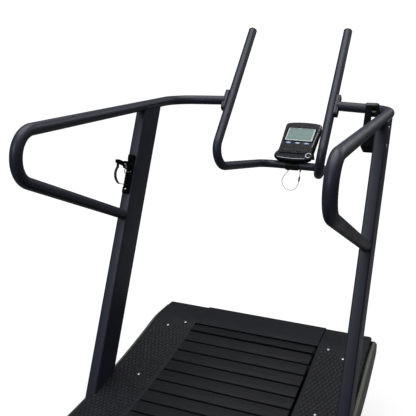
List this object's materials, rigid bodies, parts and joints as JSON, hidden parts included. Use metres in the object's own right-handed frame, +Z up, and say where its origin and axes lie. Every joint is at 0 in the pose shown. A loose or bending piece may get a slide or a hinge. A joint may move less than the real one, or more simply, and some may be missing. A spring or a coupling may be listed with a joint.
{
  "type": "curved manual treadmill",
  "caption": "Curved manual treadmill: a slatted belt on a curved deck, leaning uprights with bent handrails and a U-shaped handlebar that carries a small console.",
  "frame": {"origin": "on the floor, under the centre of the machine's box", "axes": "+X to the user's right, +Y towards the console, +Z up"},
  "size_m": [0.891, 2.2958, 1.4246],
  "materials": {
    "powder_coat": "satin blue-black powder coat",
    "frame_coat": "satin black powder coat",
    "deck_plastic": "textured charcoal plastic",
    "fairing_plastic": "satin dark grey plastic",
    "slat_rubber": "fine-grained black rubber",
    "steel": "bright turned steel",
    "black_plastic": "moulded black",
    "console_plastic": "fine spark-eroded charcoal",
    "lcd_window": "clear window over a grey-green display",
    "button_plastic": "silver-blue gloss",
    "rubber": "matte",
    "lead_jacket": "pale flexible jacket",
    "grey_nylon": "machined nylon",
    "strap_webbing": "woven"
  },
  "bodies": {
    "frame": {"arm_cap_left": "black_plastic", "arm_cap_right": "black_plastic", "base_rail_left": "frame_coat", "base_rail_right": "frame_coat", "bottle_cage": "black_plastic", "console_bracket": "black_plastic", "console_front_shell": "console_plastic", "console_rear_shell": "console_plastic", "cross_tube_front": "frame_coat", "cross_tube_rear": "frame_coat", "footrest_left": "deck_plastic", "footrest_right": "deck_plastic", "front_bearing_housing_left": "frame_coat", "front_bearing_housing_right": "frame_coat", "front_cover": "deck_plastic", "handrail_left": "powder_coat", "handrail_right": "powder_coat", "lcd_lens": "lcd_window", "lead_connector": "black_plastic", "lead_grommet_left": "rubber", "lead_grommet_right": "rubber", "lead_tail": "lead_jacket", "one_way_bearing": "steel", "outrigger_beam": "frame_coat", "rear_bearing_housing_left": "frame_coat", "rear_bearing_housing_right": "frame_coat", "rear_cover": "deck_plastic", "sensor_lead": "lead_jacket", "side_fairing_left": "fairing_plastic", "side_fairing_right": "fairing_plastic", "side_frame_left": "frame_coat", "side_frame_right": "frame_coat", "slat_belt": "slat_rubber", "speed_sensor": "black_plastic", "strap_bracket": "black_plastic", "strap_clamp": "black_plastic", "strap_loop": "strap_webbing", "strap_ring": "steel", "u_handlebar": "powder_coat", "upright_left": "powder_coat", "upright_right": "powder_coat"},
    "front_drum": {"front_axle": "steel", "front_pulley_left": "grey_nylon", "front_pulley_right": "grey_nylon"},
    "rear_drum": {"rear_axle": "steel", "rear_pulley_left": "grey_nylon", "rear_pulley_right": "grey_nylon"},
    "guide_roller_front_left": {"guide_roller_front_left": "grey_nylon"},
    "levelling_foot_front_left": {"levelling_foot_front_left": "rubber"},
    "guide_roller_front_right": {"guide_roller_front_right": "grey_nylon"},
    "levelling_foot_front_right": {"levelling_foot_front_right": "rubber"},
    "guide_roller_rear_left": {"guide_roller_rear_left": "grey_nylon"},
    "levelling_foot_rear_left": {"levelling_foot_rear_left": "rubber"},
    "guide_roller_rear_right": {"guide_roller_rear_right": "grey_nylon"},
    "levelling_foot_rear_right": {"levelling_foot_rear_right": "rubber"},
    "transport_wheel_left": {"transport_wheel_left": "rubber"},
    "transport_wheel_right": {"transport_wheel_right": "rubber"},
    "console_button_left": {"console_button_left": "button_plastic"},
    "console_button_middle": {"console_button_middle": "button_plastic"},
    "console_button_right": {"console_button_right": "button_plastic"}
  },
  "joints": [
    {"name": "front_drum_spin", "type": "hinge", "parent": "frame", "child": "front_drum", "pos_m": [0, 0.43827, 0.18961], "axis": [1, 0, 0], "continuous": true},
    {"name": "rear_drum_spin", "type": "hinge", "parent": "frame", "child": "rear_drum", "pos_m": [0, -0.95827, 0.18961], "axis": [1, 0, 0], "continuous": true},
    {"name": "guide_roller_rear_left_spin", "type": "hinge", "parent": "frame", "child": "guide_roller_rear_left", "pos_m": [-0.211, -0.6053, 0.18158], "axis": [1, 0, 0], "continuous": true},
    {"name": "guide_roller_rear_right_spin", "type": "hinge", "parent": "frame", "child": "guide_roller_rear_right", "pos_m": [0.211, -0.6053, 0.18158], "axis": [1, 0, 0], "continuous": true},
    {"name": "guide_roller_front_left_spin", "type": "hinge", "parent": "frame", "child": "guide_roller_front_left", "pos_m": [-0.211, 0.0853, 0.18158], "axis": [1, 0, 0], "continuous": true},
    {"name": "guide_roller_front_right_spin", "type": "hinge", "parent": "frame", "child": "guide_roller_front_right", "pos_m": [0.211, 0.0853, 0.18158], "axis": [1, 0, 0], "continuous": true},
    {"name": "transport_wheel_left_spin", "type": "hinge", "parent": "frame", "child": "transport_wheel_left", "pos_m": [-0.272, 0.59, 0.038], "axis": [1, 0, 0], "continuous": true},
    {"name": "transport_wheel_right_spin", "type": "hinge", "parent": "frame", "child": "transport_wheel_right", "pos_m": [0.272, 0.59, 0.038], "axis": [1, 0, 0], "continuous": true},
    {"name": "console_button_left_press", "type": "slide", "parent": "frame", "child": "console_button_left", "axis": [0, 0.515, -0.8572], "range_m": [0, 0.001], "stiffness_N_per_m": 800, "springref_m": -0.0005},
    {"name": "console_button_middle_press", "type": "slide", "parent": "frame", "child": "console_button_middle", "axis": [0, 0.515, -0.8572], "range_m": [0, 0.001], "stiffness_N_per_m": 800, "springref_m": -0.0005},
    {"name": "console_button_right_press", "type": "slide", "parent": "frame", "child": "console_button_right", "axis": [0, 0.515, -0.8572], "range_m": [0, 0.001], "stiffness_N_per_m": 800, "springref_m": -0.0005},
    {"name": "levelling_foot_front_left_adjust", "type": "slide", "parent": "frame", "child": "levelling_foot_front_left", "axis": [0, 0, -1], "range_m": [0, 0.015]},
    {"name": "levelling_foot_front_right_adjust", "type": "slide", "parent": "frame", "child": "levelling_foot_front_right", "axis": [0, 0, -1], "range_m": [0, 0.015]},
    {"name": "levelling_foot_rear_left_adjust", "type": "slide", "parent": "frame", "child": "levelling_foot_rear_left", "axis": [0, 0, -1], "range_m": [0, 0.015]},
    {"name": "levelling_foot_rear_right_adjust", "type": "slide", "parent": "frame", "child": "levelling_foot_rear_right", "axis": [0, 0, -1], "range_m": [0, 0.015]}
  ],
  "couplings": [
    {"joint": "rear_drum_spin", "follows": "front_drum_spin", "ratio": 1},
    {"joint": "guide_roller_rear_left_spin", "follows": "front_drum_spin", "ratio": 3.5556},
    {"joint": "guide_roller_rear_right_spin", "follows": "front_drum_spin", "ratio": 3.5556},
    {"joint": "guide_roller_front_left_spin", "follows": "front_drum_spin", "ratio": 3.5556},
    {"joint": "guide_roller_front_right_spin", "follows": "front_drum_spin", "ratio": 3.5556}
  ]
}
